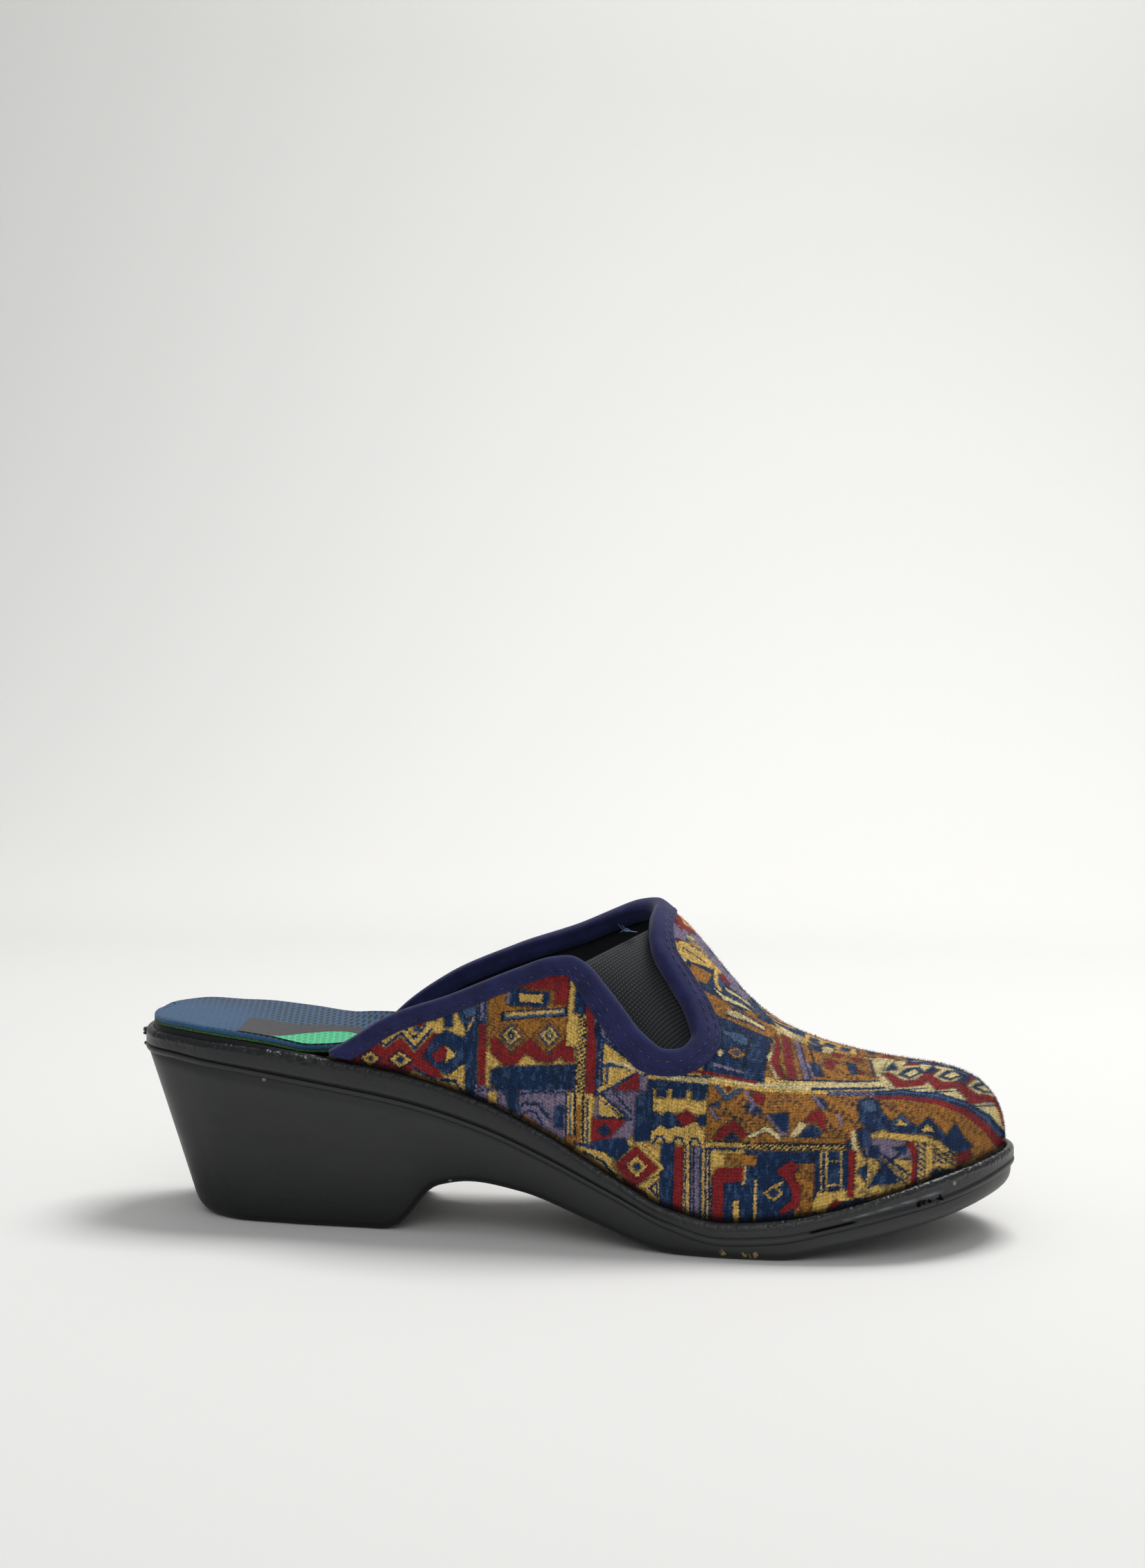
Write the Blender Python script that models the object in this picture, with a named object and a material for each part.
"""House slipper: an open-back mule, printed velour upper on a moulded wedge sole.

A right shoe. +X points to the toe, -Y is the outer (lateral) side with the elastic notch, +Z is up.
Sizes and tables are in millimetres, with x from the back of the heel and z from the floor. The
finished part is moved so that its origin is the bottom centre of its box, and scaled to metres.
"""

import math

import bmesh
import bpy
import numpy as np
from mathutils import Vector
from mathutils.geometry import delaunay_2d_cdt

for old in list(bpy.data.objects):
    bpy.data.objects.remove(old, do_unlink=True)

MM = 0.001
GAP = 0.3
INNER_GAP = 0.6  # behind the upper's wall, whose flat facets cut inside its curve

# Driving sizes of the sole; the waist is cut in on the medial side only, and the breast lies further back there
SOLE_LENGTH = 250.0
TOE_TIP_Y = 4.0
RIM_WALL = 2.5
RIM_ROUND = 1.8
GROOVE_HEIGHT = 0.9
GROOVE_DEPTH = 0.8
BEAD_HEIGHT = 1.5
WALL_TAPER = 0.035
HEEL_SETBACK = 14.5
SETBACK_REACH = 70.0
SETBACK_POWER = 1.5
HEEL_FLAT_END = 76.0
WAIST = (45.0, 165.0)
WAIST_CUT = 11.0
BREAST_LAG = 3.5
BREAST_END = 100.0
FOREFOOT_FLAT = (163.0, 190.0)
HEEL_END_RUN = 36.0
TOE_END_RUN = 26.0
STATION_STEP = 8.0

# Driving sizes of the insole
FOAM_THICKNESS = 0.7
COVER_THICKNESS = 1.3
SOCK_COLUMNS = 7
SOCK_CURL_POWER = 3

# Driving sizes of the upper, its gore and its binding
WALL = 2.0
TOE_ROUND_START = 222.0
TOE_FULLNESS = 3.0
UPPER_BACK = 55.0
SHEET_STEP = 6.6
EDGE_STEP = 5.0
EDGE_CLEARANCE = 0.62  # share of a step that the net keeps from the outline
TOPLINE_STEP = 3.4
TOPLINE_STEPS = 20  # fine steps between two rows of the table
BINDING_THICKNESS = 0.9
BINDING_INNER_LEG = 4.5
BINDING_LEAST_LEG = 0.8
BINDING_ROUND = 0.3
BINDING_END_STATIONS = 1
BINDING_CLEARANCE = 0.5
GORE_THICKNESS = 1.1
GORE_MARGIN = 5.0
GORE_STEP = 6.0

# Colour and roughness of each piece
SOLE_BLACK = (0.022, 0.023, 0.024), 0.42
FOAM_GREEN = (0.03, 0.12, 0.03), 0.9
KNIT_BLUE = (0.08, 0.16, 0.3), 0.9
VELOUR = (0.36, 0.24, 0.13), 0.9
ELASTIC_CHARCOAL = (0.06, 0.065, 0.07), 0.8
BINDING_NAVY = (0.045, 0.04, 0.12), 0.8

# Outline of the rim from above: x, lateral half-width, medial half-width
PLAN = [
    (1.7, 12.0, 12.0),
    (6.8, 21.3, 19.5),
    (20.0, 28.4, 25.0),
    (45.0, 31.8, 30.6),
    (80.0, 33.0, 30.0),
    (112.0, 36.0, 28.5),
    (150.0, 43.0, 36.0),
    (178.0, 46.5, 43.6),
    (200.0, 44.5, 44.5),
    (220.0, 37.5, 40.0),
    (236.0, 25.5, 31.3),
    (246.0, 11.0, 18.6),
]

# Side of the sole: x, height of the groove, height of the rim, depth of the tray under the rim;
# at the heel the tray is a low seat that stands over the rim
SIDE = [
    (0.0, 47.8, 52.7, -1.2),
    (10.0, 47.6, 52.6, -1.2),
    (25.0, 45.9, 51.6, -1.2),
    (45.0, 43.2, 49.9, -0.5),
    (65.0, 40.2, 47.6, 1.2),
    (85.0, 36.8, 44.4, 3.0),
    (105.0, 31.6, 38.9, 4.0),
    (125.0, 24.2, 30.6, 4.0),
    (145.0, 15.5, 20.2, 4.0),
    (160.0, 8.8, 13.0, 4.0),
    (175.0, 5.4, 10.2, 4.0),
    (190.0, 6.3, 11.2, 4.0),
    (205.0, 9.5, 13.9, 4.0),
    (220.0, 13.0, 18.0, 4.0),
    (235.0, 16.2, 22.0, 4.0),
    (250.0, 21.0, 25.0, 4.0),
]

# Underside: x, height over the floor; the heel and the forefoot are flat on it
UNDERSIDE = [
    (0.0, 0.0),
    (HEEL_FLAT_END, 0.0),
    (80.5, 1.3),
    (84.4, 4.9),
    (89.0, 10.9),
    (93.0, 13.5),
    (103.0, 15.2),
    (117.0, 13.4),
    (137.0, 7.1),
    (157.0, 0.7),
    (FOREFOOT_FLAT[0], 0.0),
    (FOREFOOT_FLAT[1], 0.0),
    (204.0, 2.8),
    (222.0, 6.6),
    (240.0, 10.6),
    (250.0, 12.5),
]

# Rounding where the side turns under: x, radius
BOTTOM_ROUND = [(0.0, 6.0), (30.0, 2.4), (232.0, 2.4), (250.0, 5.0)]

# Insole: x, distance of its edge from the rim's outline, height that its edges curl up
SOCK = [
    (0.0, 2.4, 0.0),
    (20.0, 2.6, 0.0),
    (45.0, 3.4, 0.0),
    (51.0, 4.6, 0.2),
    (56.0, 7.0, 1.6),
    (64.0, 7.0, 4.6),
    (78.0, 7.0, 5.0),
    (120.0, 7.0, 1.0),
    (140.0, 7.0, 0.0),
    (250.0, 7.0, 0.0),
]

# Last: x, ridge y, ridge z, fullness of the section (2 is an ellipse, more is squarer)
LAST = [
    (55.0, 2.0, 131.0, 2.0),
    (80.0, 3.0, 123.0, 2.0),
    (100.0, 4.0, 115.5, 2.0),
    (120.0, 5.0, 106.5, 2.0),
    (135.0, 5.5, 98.2, 2.0),
    (147.0, 6.0, 90.9, 2.05),
    (154.0, 6.0, 86.2, 2.1),
    (160.0, 6.0, 80.2, 2.1),
    (166.0, 6.0, 73.0, 2.15),
    (173.0, 6.0, 64.8, 2.2),
    (180.0, 6.0, 58.6, 2.25),
    (189.0, 6.0, 53.5, 2.3),
    (200.0, 5.5, 49.9, 2.3),
    (212.0, 5.0, 47.6, 2.3),
    (225.0, 5.0, 46.3, 2.3),
    (250.0, 4.0, 44.8, 2.3),
]

# Topline from the lateral back end, round the notch and over the throat to the medial back end:
# x, angle round the section (0 lateral base, 90 ridge, 180 medial base), width of the binding
TOPLINE = [
    (59.6, 0.0, 4.2),
    (67.5, 4.4, 4.2),
    (77.4, 10.8, 4.2),
    (96.9, 21.0, 4.3),
    (116.2, 34.0, 4.4),
    (125.5, 41.0, 4.6),
    (130.6, 43.8, 5.0),
    (134.8, 43.6, 5.6),
    (138.2, 42.0, 6.2),
    (144.4, 38.6, 6.6),
    (149.6, 35.6, 6.6),
    (154.6, 34.6, 6.6),
    (159.8, 37.4, 6.6),
    (163.9, 43.0, 6.6),
    (165.4, 48.8, 6.5),
    (162.8, 54.4, 6.4),
    (158.3, 57.8, 6.2),
    (153.4, 61.4, 6.0),
    (151.2, 67.5, 5.6),
    (150.2, 76.0, 5.2),
    (149.6, 90.0, 5.0),
    (147.0, 101.5, 4.8),
    (140.0, 115.6, 4.6),
    (126.0, 134.3, 4.4),
    (104.8, 150.6, 4.3),
    (83.4, 164.2, 4.2),
    (72.0, 172.2, 4.2),
    (62.5, 180.0, 4.2),
]
GORE_FIRST_ROW = 7
GORE_LAST_ROW = 19


def smooth(rows, column):
    """A curve in x through one column of a table, with no overshoot between its rows."""
    knots = np.array([row[0] for row in rows])
    values = np.array([row[column] for row in rows])
    spans = np.diff(knots)
    slopes = np.diff(values) / spans
    tangents = np.concatenate([slopes[:1], np.zeros(len(knots) - 2), slopes[-1:]])
    for i in range(1, len(knots) - 1):
        before, after = slopes[i - 1], slopes[i]
        if before * after > 0.0:
            weight_a = 2.0 * spans[i] + spans[i - 1]
            weight_b = spans[i] + 2.0 * spans[i - 1]
            tangents[i] = (weight_a + weight_b) / (weight_a / before + weight_b / after)

    def curve(x):
        i = np.clip(np.searchsorted(knots, x) - 1, 0, len(knots) - 2)
        t = np.clip((x - knots[i]) / spans[i], 0.0, 1.0)
        rise = t * t * (3.0 - 2.0 * t)
        bend = t * (1.0 - t) ** 2 * tangents[i] + t * t * (t - 1.0) * tangents[i + 1]
        return values[i] + (values[i + 1] - values[i]) * rise + spans[i] * bend

    return curve


def curve_through(points, steps, closed=False):
    """A smooth curve through points of any dimension, with the given steps on each stretch."""
    p = np.array(points, dtype=float)
    before = np.roll(p, 1, axis=0)
    after = np.roll(p, -1, axis=0)
    if not closed:
        before[0] = 2.0 * p[0] - p[1]
        after[-1] = 2.0 * p[-1] - p[-2]
    back = np.linalg.norm(p - before, axis=1)[:, None]
    ahead = np.linalg.norm(after - p, axis=1)[:, None]
    tangents = ((p - before) / back * ahead + (after - p) / ahead * back) / (back + ahead)
    t = (np.arange(steps) / steps)[:, None]
    stretches = []
    for i in range(len(p) if closed else len(p) - 1):
        j = (i + 1) % len(p)
        rise = t * t * (3.0 - 2.0 * t)
        bend = t * (1.0 - t) ** 2 * tangents[i] + t * t * (t - 1.0) * tangents[j]
        stretches.append(p[i] + (p[j] - p[i]) * rise + ahead[i] * bend)
    if not closed:
        stretches.append(p[-1:])
    return np.vstack(stretches)


def resample(values, positions, step):
    """Rows of values at even steps along the line through positions, both ends kept."""
    lengths = np.concatenate([[0.0], np.cumsum(np.linalg.norm(np.diff(positions, axis=0), axis=1))])
    count = max(2, round(lengths[-1] / step) + 1)
    even = np.linspace(0.0, lengths[-1], count)
    return np.stack([np.interp(even, lengths, column) for column in np.transpose(values)], axis=1)


# The rim's outline, its inward normals, and the box centre that becomes the origin
plan_points = [(0.0, 0.0)] + [(x, -lateral) for x, lateral, medial in PLAN]
plan_points += [(SOLE_LENGTH, TOE_TIP_Y)] + [(x, medial) for x, lateral, medial in reversed(PLAN)]
OUTLINE = curve_through(plan_points, 40, closed=True)
along = np.roll(OUTLINE, -1, axis=0) - np.roll(OUTLINE, 1, axis=0)
INWARD = np.stack([-along[:, 1], along[:, 0]], axis=1)
INWARD /= np.linalg.norm(INWARD, axis=1)[:, None]
TOE_INDEX = int(OUTLINE[:, 0].argmax())
BOX_LOW = OUTLINE.min(axis=0)
BOX_HIGH = OUTLINE.max(axis=0)
ORIGIN = np.array([*(BOX_LOW + BOX_HIGH) / 2.0, 0.0])

groove_z = smooth(SIDE, 1)
rim_z = smooth(SIDE, 2)
tray_depth = smooth(SIDE, 3)
underside_z = smooth(UNDERSIDE, 1)
bottom_round = smooth(BOTTOM_ROUND, 1)


def tray_z(x):
    return rim_z(x) - tray_depth(x)


def plan_at(stations):
    """Lateral and medial points of the rim's outline at the stations, and their inward normals."""
    halves = []
    for half in (slice(0, TOE_INDEX + 1), slice(None, TOE_INDEX - 1, -1)):
        columns = [np.interp(stations, OUTLINE[half, 0], source[half, i])
                   for source in (OUTLINE, INWARD) for i in (0, 1)]
        halves.append(np.stack(columns, axis=1))
    return halves


def add_solid(name, points, faces, finish):
    """One closed object from points in millimetres."""
    colour, roughness = finish
    mesh = bpy.data.meshes.new(name)
    mesh.from_pydata(((np.asarray(points) - ORIGIN) * MM).tolist(), [], faces)
    solid = bmesh.new()
    solid.from_mesh(mesh)
    bmesh.ops.recalc_face_normals(solid, faces=solid.faces)
    solid.to_mesh(mesh)
    solid.free()
    mesh.shade_smooth()
    mesh.set_sharp_from_angle(angle=math.radians(40.0))
    material = bpy.data.materials.new(name)
    material.use_nodes = True
    shader = material.node_tree.nodes["Principled BSDF"]
    shader.inputs["Base Color"].default_value = (*colour, 1.0)
    shader.inputs["Roughness"].default_value = roughness
    mesh.materials.append(material)
    bpy.context.collection.objects.link(bpy.data.objects.new(name, mesh))


def band_faces(first, second):
    """Quads between two closed loops of point numbers."""
    count = len(first)
    return [(first[i], first[(i + 1) % count], second[(i + 1) % count], second[i]) for i in range(count)]


# Outsole
def end_stations(count, run):
    """Distances from an end of the sole, close together where its outline turns."""
    return run * (np.arange(count + 1) / count) ** 2


def sole_stations():
    """Stations along x, close together round both ends and over the heel breast."""
    heel = end_stations(9, HEEL_END_RUN)
    seat = np.arange(HEEL_END_RUN + STATION_STEP, HEEL_FLAT_END, STATION_STEP)
    breast = np.linspace(HEEL_FLAT_END, BREAST_END, 9)
    toe = SOLE_LENGTH - end_stations(8, TOE_END_RUN)
    forepart = np.arange(BREAST_END + STATION_STEP, toe.min() - STATION_STEP / 2.0, STATION_STEP)
    near_flat = np.abs(forepart[:, None] - FOREFOOT_FLAT).min(axis=1) < STATION_STEP / 3.0
    return np.sort(np.concatenate([heel, seat, breast, forepart[~near_flat], FOREFOOT_FLAT, toe]))


def build_outsole():
    stations = sole_stations()
    lateral, medial = plan_at(stations)
    loop = np.vstack([lateral, medial[-2:0:-1]])
    rim, inward = loop[:, :2], loop[:, 2:]
    rim_x = rim[:, 0]
    setback = HEEL_SETBACK * np.clip(1.0 - rim_x / SETBACK_REACH, 0.0, 1.0) ** SETBACK_POWER
    radius = bottom_round(rim_x)
    side_top = groove_z(rim_x) - BEAD_HEIGHT - GROOVE_DEPTH / 2.0
    waist_share = np.clip((rim_x - WAIST[0]) / (WAIST[1] - WAIST[0]), 0.0, 1.0)
    waist = np.where(inward[:, 1] < 0.0, np.sin(math.pi * waist_share) ** 2, 0.0)
    side_height = side_top - underside_z(rim_x + setback + BREAST_LAG * waist) - radius

    def ring(inset, height):
        """A loop of the rim band, moved inwards from the outline."""
        plan = rim + inward * inset
        return np.column_stack([plan, height(plan[:, 0])])

    def side_ring(share, turn_degrees=0.0):
        """A loop of the side: a share of the way down it, then turned under through an angle."""
        turn = math.radians(turn_degrees)
        drop = share * side_height + radius * math.sin(turn)
        fall = drop / (side_height + radius)
        inset = GROOVE_DEPTH + WALL_TAPER * share * side_height + radius * (1.0 - math.cos(turn))
        plan = rim + inward * (inset + WAIST_CUT * waist * fall)[:, None]
        plan[:, 0] += setback * fall
        return np.column_stack([plan, side_top - drop])

    rings = [
        ring(RIM_WALL, tray_z),
        ring(RIM_WALL, rim_z),
        ring(RIM_ROUND * 0.8, rim_z),
        ring(RIM_ROUND * 0.25, lambda x: rim_z(x) - RIM_ROUND * 0.35),
        ring(0.0, lambda x: rim_z(x) - RIM_ROUND),
        ring(0.0, lambda x: groove_z(x) + GROOVE_HEIGHT),
        ring(GROOVE_DEPTH, lambda x: groove_z(x) + GROOVE_HEIGHT / 2.0),
        ring(0.0, groove_z),
        ring(GROOVE_DEPTH / 4.0, lambda x: groove_z(x) - BEAD_HEIGHT),
        side_ring(0.0),
        side_ring(0.35),
        side_ring(0.7),
        side_ring(1.0),
        side_ring(1.0, 35.0),
        side_ring(1.0, 65.0),
        side_ring(1.0, 90.0),
    ]
    count = len(loop)
    numbers = [list(range(level * count, (level + 1) * count)) for level in range(len(rings))]
    faces = []
    for above, below in zip(numbers, numbers[1:]):
        faces += band_faces(above, below)
    toe = len(stations) - 1
    for cap in (numbers[0], numbers[-1]):
        outer_side = cap[1:toe]
        inner_side = cap[:toe:-1]
        faces.append((cap[0], outer_side[0], inner_side[0]))
        for i in range(toe - 2):
            faces.append((outer_side[i], outer_side[i + 1], inner_side[i + 1], inner_side[i]))
        faces.append((outer_side[-1], cap[toe], inner_side[-1]))
    add_solid("outsole", np.vstack(rings), faces, SOLE_BLACK)


# Insole: two thin layers on the tray, with edges that curl up between the quarters
def build_sock(name, bottom, thickness, finish):
    edge = smooth(SOCK, 1)
    curl = smooth(SOCK, 2)
    heel = end_stations(7, HEEL_END_RUN)
    toe = SOLE_LENGTH - end_stations(6, TOE_END_RUN)
    middle = np.arange(HEEL_END_RUN + STATION_STEP, toe.min() - STATION_STEP / 2.0, STATION_STEP)
    stations = np.sort(np.concatenate([heel, middle, toe]))
    lateral, medial = [half[:, :2] + half[:, 2:] * edge(stations)[:, None] for half in plan_at(stations)]
    across = np.linspace(0.0, 1.0, SOCK_COLUMNS)
    grid = lateral[:, None, :] + (medial - lateral)[:, None, :] * across[None, :, None]
    lift = curl(grid[:, :, 0]) * np.abs(2.0 * across - 1.0) ** SOCK_CURL_POWER
    low = np.dstack([grid, tray_z(grid[:, :, 0]) + bottom + lift])
    low = np.vstack([low[1:-1].reshape(-1, 3), low[0, :1], low[-1, :1]])
    rows = len(stations) - 2
    numbers = np.arange(rows * SOCK_COLUMNS).reshape(rows, SOCK_COLUMNS)
    heel_number, toe_number = rows * SOCK_COLUMNS, rows * SOCK_COLUMNS + 1
    faces = []
    for i in range(rows - 1):
        for k in range(SOCK_COLUMNS - 1):
            faces.append((numbers[i, k], numbers[i + 1, k], numbers[i + 1, k + 1]))
            faces.append((numbers[i, k], numbers[i + 1, k + 1], numbers[i, k + 1]))
    for k in range(SOCK_COLUMNS - 1):
        faces.append((heel_number, numbers[0, k], numbers[0, k + 1]))
        faces.append((numbers[-1, k], toe_number, numbers[-1, k + 1]))
    border = [heel_number, *numbers[:, 0], toe_number, *numbers[::-1, -1]]
    count = len(low)
    faces += [tuple(index + count for index in reversed(face)) for face in faces]
    faces += band_faces(border, [index + count for index in border])
    add_solid(name, np.vstack([low, low + [0.0, 0.0, thickness]]), faces, finish)


# Upper's surface: a section of the last at each x, from the lateral base over the ridge to the medial base
ridge_y = smooth(LAST, 1)
ridge_z = smooth(LAST, 2)
fullness = smooth(LAST, 3)
UPPER_INSET = RIM_WALL + GAP
upper_outline = OUTLINE + INWARD * UPPER_INSET
TOE_X = upper_outline[:, 0].max()
TOE_Y = upper_outline[upper_outline[:, 0].argmax(), 1]
upper_toe = int(upper_outline[:, 0].argmax())


def base_y(x, half):
    line = upper_outline[half]
    return np.interp(x, line[:, 0], line[:, 1])


def upper_point(x, angle):
    """A point of the upper's outside; angle is in radians, 0 at the lateral base."""
    toe = np.clip((x - TOE_ROUND_START) / (TOE_X - TOE_ROUND_START), 0.0, 1.0)
    closing = (1.0 - toe ** TOE_FULLNESS) ** (1.0 / TOE_FULLNESS)
    base = tray_z(x) + GAP
    height = (ridge_z(x) - base) * closing
    centre = ridge_y(x) + (TOE_Y - ridge_y(x)) * toe ** 2
    lateral = base_y(x, slice(0, upper_toe + 1)) - centre
    medial = base_y(x, slice(None, upper_toe - 1, -1)) - centre
    half_width = np.where(angle <= math.pi / 2.0, lateral, medial)
    power = 2.0 / fullness(x)
    y = centre + half_width * np.abs(np.cos(angle)) ** power
    z = base + height * np.abs(np.sin(angle)) ** power
    return np.stack([x + 0.0 * angle, y, z], axis=-1)


def upper_normal(x, angle):
    """Outward normal of the upper; it is level along the base, so the wall stands on its own edge."""
    step_x, step_angle = 0.05, 0.004
    near_x = np.minimum(x, TOE_X - 4.0 * step_x)
    ahead = upper_point(near_x + step_x, angle) - upper_point(near_x - step_x, angle)
    high = np.minimum(angle + step_angle, math.pi)
    low = np.maximum(angle - step_angle, 0.0)
    over = upper_point(near_x, high) - upper_point(near_x, low)
    normal = np.cross(over, ahead)
    at_base = (np.sin(angle) < 1e-3) | (x > TOE_X - 1e-3)
    normal[..., 2] = np.where(at_base, 0.0, normal[..., 2])
    return -normal / np.linalg.norm(normal, axis=-1)[..., None]


# The upper laid flat: a along the ridge, b round the section from the ridge
flat_x = UPPER_BACK + (TOE_X - UPPER_BACK) * np.sin(np.linspace(0.0, math.pi / 2.0, 400))
flat_angles = np.linspace(0.0, math.pi, 121)
flat_sections = upper_point(flat_x[:, None], flat_angles[None, :])
half_girth = np.linalg.norm(np.diff(flat_sections, axis=1), axis=2).sum(axis=1) / 2.0
ridge_line = flat_sections[:, 60]
flat_a = np.concatenate([[0.0], np.cumsum(np.linalg.norm(np.diff(ridge_line, axis=0), axis=1))])


def to_flat(x, angle):
    b = (angle / (math.pi / 2.0) - 1.0) * np.interp(x, flat_x, half_girth)
    return np.stack([np.interp(x, flat_x, flat_a), b], axis=-1)


def from_flat(flat):
    x = np.interp(flat[..., 0], flat_a, flat_x)
    girth = np.maximum(np.interp(x, flat_x, half_girth), 1e-6)
    angle = (np.clip(flat[..., 1] / girth, -1.0, 1.0) + 1.0) * math.pi / 2.0
    return x, angle


def flat_point(flat, lift=0.0):
    """A point of the upper from its flat place, lifted off the outside along the normal."""
    x, angle = from_flat(flat)
    return upper_point(x, angle) + upper_normal(x, angle) * np.reshape(lift, (-1, 1))


def inside(points, outline):
    """Which flat points lie inside a closed outline."""
    found = np.zeros(len(points), dtype=bool)
    for p, q in zip(outline, np.roll(outline, -1, axis=0)):
        crosses = (p[1] > points[:, 1]) != (q[1] > points[:, 1])
        if crosses.any():
            meet = p[0] + (points[:, 1] - p[1]) * (q[0] - p[0]) / (q[1] - p[1] + 1e-12)
            found ^= crosses & (points[:, 0] < meet)
    return found


def add_sheet(name, outline, step, outer_lift, thickness, finish):
    """A wall over part of the upper's surface: two sheets over one flat net, closed along the edge."""
    low, high = outline.min(axis=0), outline.max(axis=0)
    row_gap = step * math.sqrt(3.0) / 2.0
    net = []
    for row, b in enumerate(np.arange(low[1], high[1], row_gap)):
        for a in np.arange(low[0] + step * 0.5 * (row % 2), high[0], step):
            net.append((a, b))
    net = np.array(net)
    net = net[inside(net, outline)]
    clear = np.linalg.norm(net[:, None, :] - outline[None, :, :], axis=2).min(axis=1) > EDGE_CLEARANCE * step
    places = [Vector(p) for p in np.vstack([outline, net[clear]])]
    places, edges, faces = delaunay_2d_cdt(places, [], [list(range(len(outline)))], 1, 1e-5)[:3]
    flat = np.array([tuple(place) for place in places])
    outer = flat_point(flat, outer_lift)
    inner = flat_point(flat, outer_lift - thickness)
    offset = len(flat)
    uses = {}
    for face in faces:
        for i, j in zip(face, face[1:] + face[:1]):
            uses[(i, j)] = True
    rim = [(i, j) for i, j in uses if (j, i) not in uses]
    solid_faces = [tuple(face) for face in faces]
    solid_faces += [tuple(index + offset for index in reversed(face)) for face in faces]
    solid_faces += [(j, i, i + offset, j + offset) for i, j in rim]
    add_solid(name, np.vstack([outer, inner]), solid_faces, finish)


# The topline in the flat, with its binding width as a third column
topline_rows = np.array(TOPLINE)
topline_knots = to_flat(topline_rows[:, 0], np.radians(topline_rows[:, 1]))
topline_fine = curve_through(np.column_stack([topline_knots, topline_rows[:, 2]]), TOPLINE_STEPS)
topline_stations = resample(topline_fine, flat_point(topline_fine[:, :2]), TOPLINE_STEP)


def base_flat(first_x, angle):
    """The base edge in the flat from a back end to the toe tip."""
    x = first_x + (TOE_X - first_x) * np.sin(np.linspace(0.0, math.pi / 2.0, 300))
    flat = to_flat(x, np.full_like(x, angle))
    return resample(flat, upper_point(x, np.full_like(x, angle)), EDGE_STEP)


def build_upper():
    lateral = base_flat(TOPLINE[0][0], 0.0)
    medial = base_flat(TOPLINE[-1][0], math.pi)[::-1]
    topline = topline_stations[::-1, :2]
    outline = np.vstack([lateral[:-1], medial[:-1], topline[:-1]])
    add_sheet("upper", outline, SHEET_STEP, 0.0, WALL, VELOUR)


def inward_steps(flat, distance):
    """Flat places at a distance in from the topline, square to it and within the surface."""
    edge = flat_point(flat)
    tangent = np.gradient(edge, axis=0)
    tangent /= np.linalg.norm(tangent, axis=1)[:, None]
    x, angle = from_flat(flat)
    inward = np.cross(tangent, upper_normal(x, angle))
    step = 0.05
    along_a = (flat_point(flat + [step, 0.0]) - flat_point(flat - [step, 0.0])) / (2.0 * step)
    along_b = (flat_point(flat + [0.0, step]) - flat_point(flat - [0.0, step])) / (2.0 * step)
    aa = (along_a * along_a).sum(axis=1)
    ab = (along_a * along_b).sum(axis=1)
    bb = (along_b * along_b).sum(axis=1)
    ga = (along_a * inward).sum(axis=1)
    gb = (along_b * inward).sum(axis=1)
    det = aa * bb - ab * ab
    per_mm = np.stack([(bb * ga - ab * gb) / det, (aa * gb - ab * ga) / det], axis=1)
    return flat + per_mm * np.reshape(distance, (-1, 1))


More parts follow.
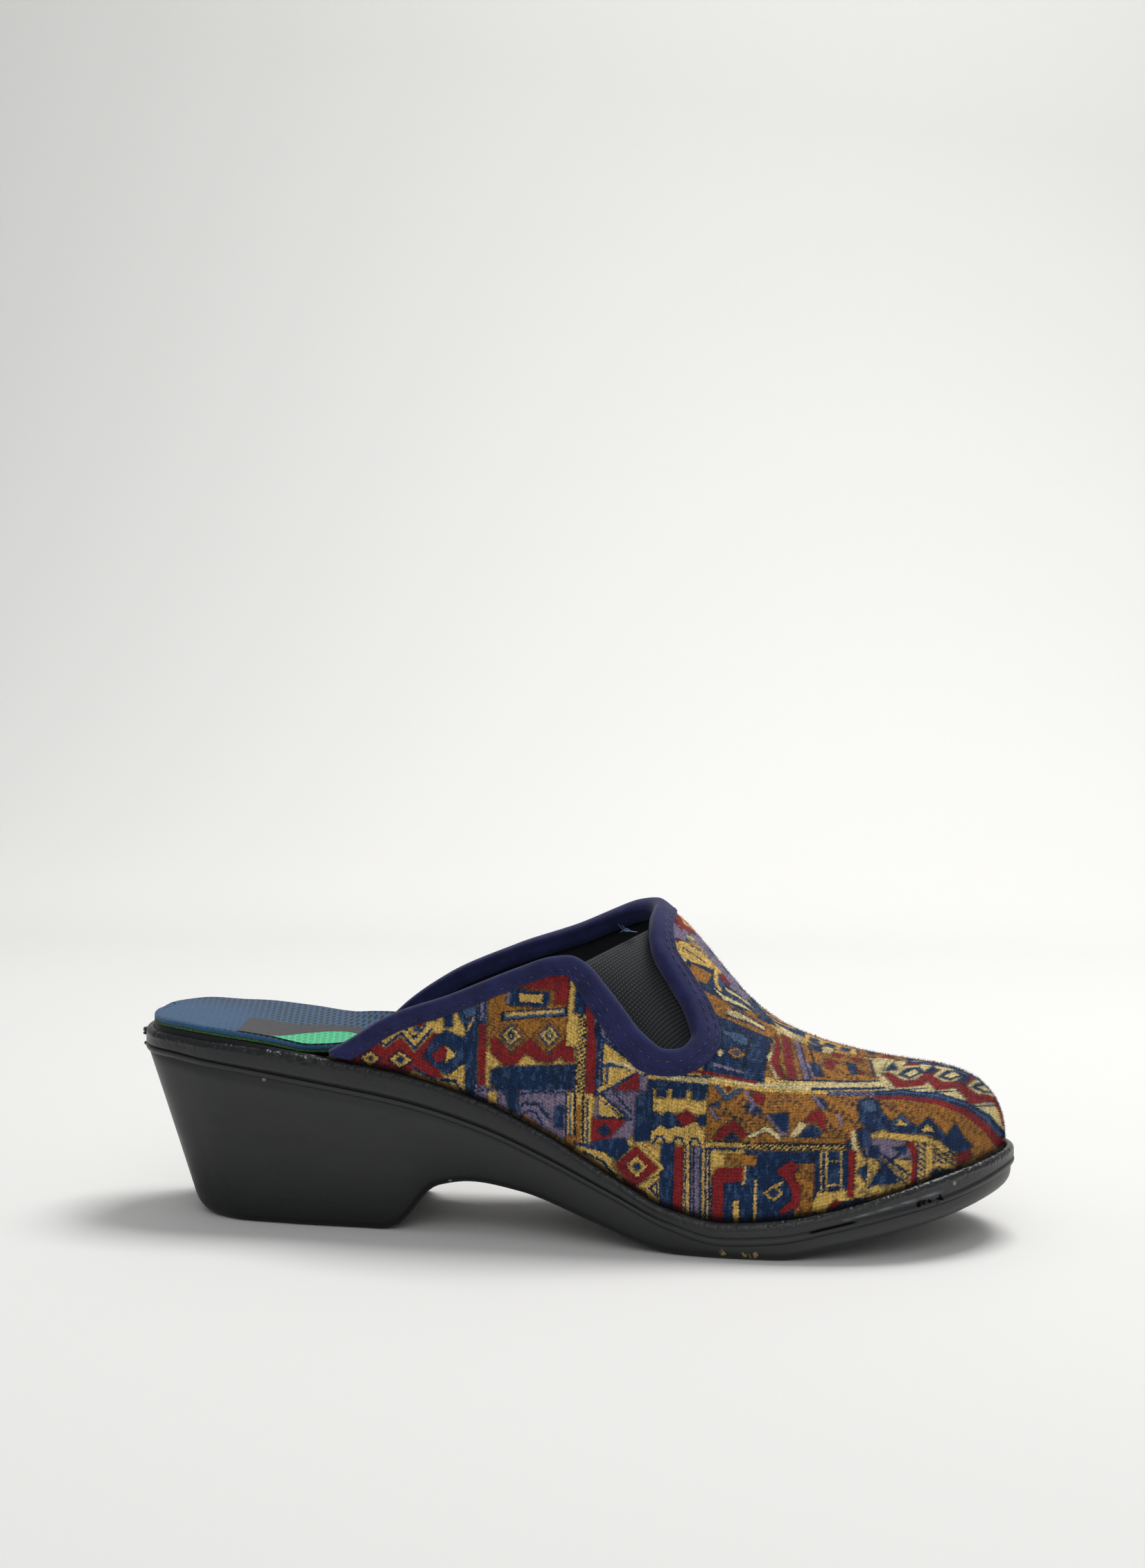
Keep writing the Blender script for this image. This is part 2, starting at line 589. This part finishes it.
def build_binding():
    """A strip folded over the topline: an outer leg, a round fold and an inner leg."""
    rows = topline_stations[BINDING_END_STATIONS:-BINDING_END_STATIONS]
    flat, width = rows[:, :2], rows[:, 2]

    def reach(wanted):
        """The widest leg, up to the one wanted, that stays clear above the rim."""
        best = np.full(len(flat), BINDING_LEAST_LEG)
        for share in np.linspace(0.0, 1.0, 25):
            point = flat_point(inward_steps(flat, wanted * share))
            clear = point[:, 2] > rim_z(point[:, 0]) + BINDING_CLEARANCE
            best = np.where(clear & (wanted * share > best), wanted * share, best)
        return best

    outer_leg = reach(width)
    inner_leg = reach(np.full(len(flat), BINDING_INNER_LEG))
    skin = GAP + BINDING_THICKNESS
    back = -WALL - INNER_GAP
    zero = np.zeros(len(flat))
    profile = [
        (outer_leg, GAP),
        (outer_leg, skin),
        (zero + BINDING_ROUND, skin),
        (zero - 0.6 * skin, 0.45 * skin),
        (zero - skin, -WALL / 2.0),
        (zero - 0.6 * skin, back - 0.3 * skin),
        (zero + BINDING_ROUND, back - BINDING_THICKNESS),
        (inner_leg, back - BINDING_THICKNESS),
        (inner_leg, back),
        (inner_leg / 2.0, back),
        (zero - GAP, back),
        (zero - GAP, GAP),
        (outer_leg / 2.0, GAP),
    ]
    loops = []
    for distance, lift in profile:
        loops.append(flat_point(inward_steps(flat, distance), lift))
    points = np.stack(loops, axis=1)
    stations, sides = points.shape[:2]
    faces = []
    for i in range(stations - 1):
        first = [i * sides + k for k in range(sides)]
        faces += band_faces(first, [index + sides for index in first])
    faces.append(tuple(range(sides)))
    faces.append(tuple((stations - 1) * sides + k for k in reversed(range(sides))))
    add_solid("collar_binding", points.reshape(-1, 3), faces, BINDING_NAVY)


def build_gore():
    """An elastic panel behind the notch and the binding's inner leg, with a free straight top edge."""
    notch = topline_fine[GORE_FIRST_ROW * TOPLINE_STEPS:GORE_LAST_ROW * TOPLINE_STEPS + 1, :2]
    edge = inward_steps(notch, np.full(len(notch), GORE_MARGIN))
    edge = resample(edge, flat_point(edge), GORE_STEP)
    corners = notch[[-1, 0]]
    top = resample(corners, flat_point(corners), GORE_STEP)
    lift = -WALL - INNER_GAP - BINDING_THICKNESS - GAP
    add_sheet("gore", np.vstack([edge, top]), GORE_STEP, lift, GORE_THICKNESS, ELASTIC_CHARCOAL)


build_outsole()
build_sock("sock_foam", GAP, FOAM_THICKNESS, FOAM_GREEN)
build_sock("sock_cover", 2.0 * GAP + FOAM_THICKNESS, COVER_THICKNESS, KNIT_BLUE)
build_upper()
build_gore()
build_binding()
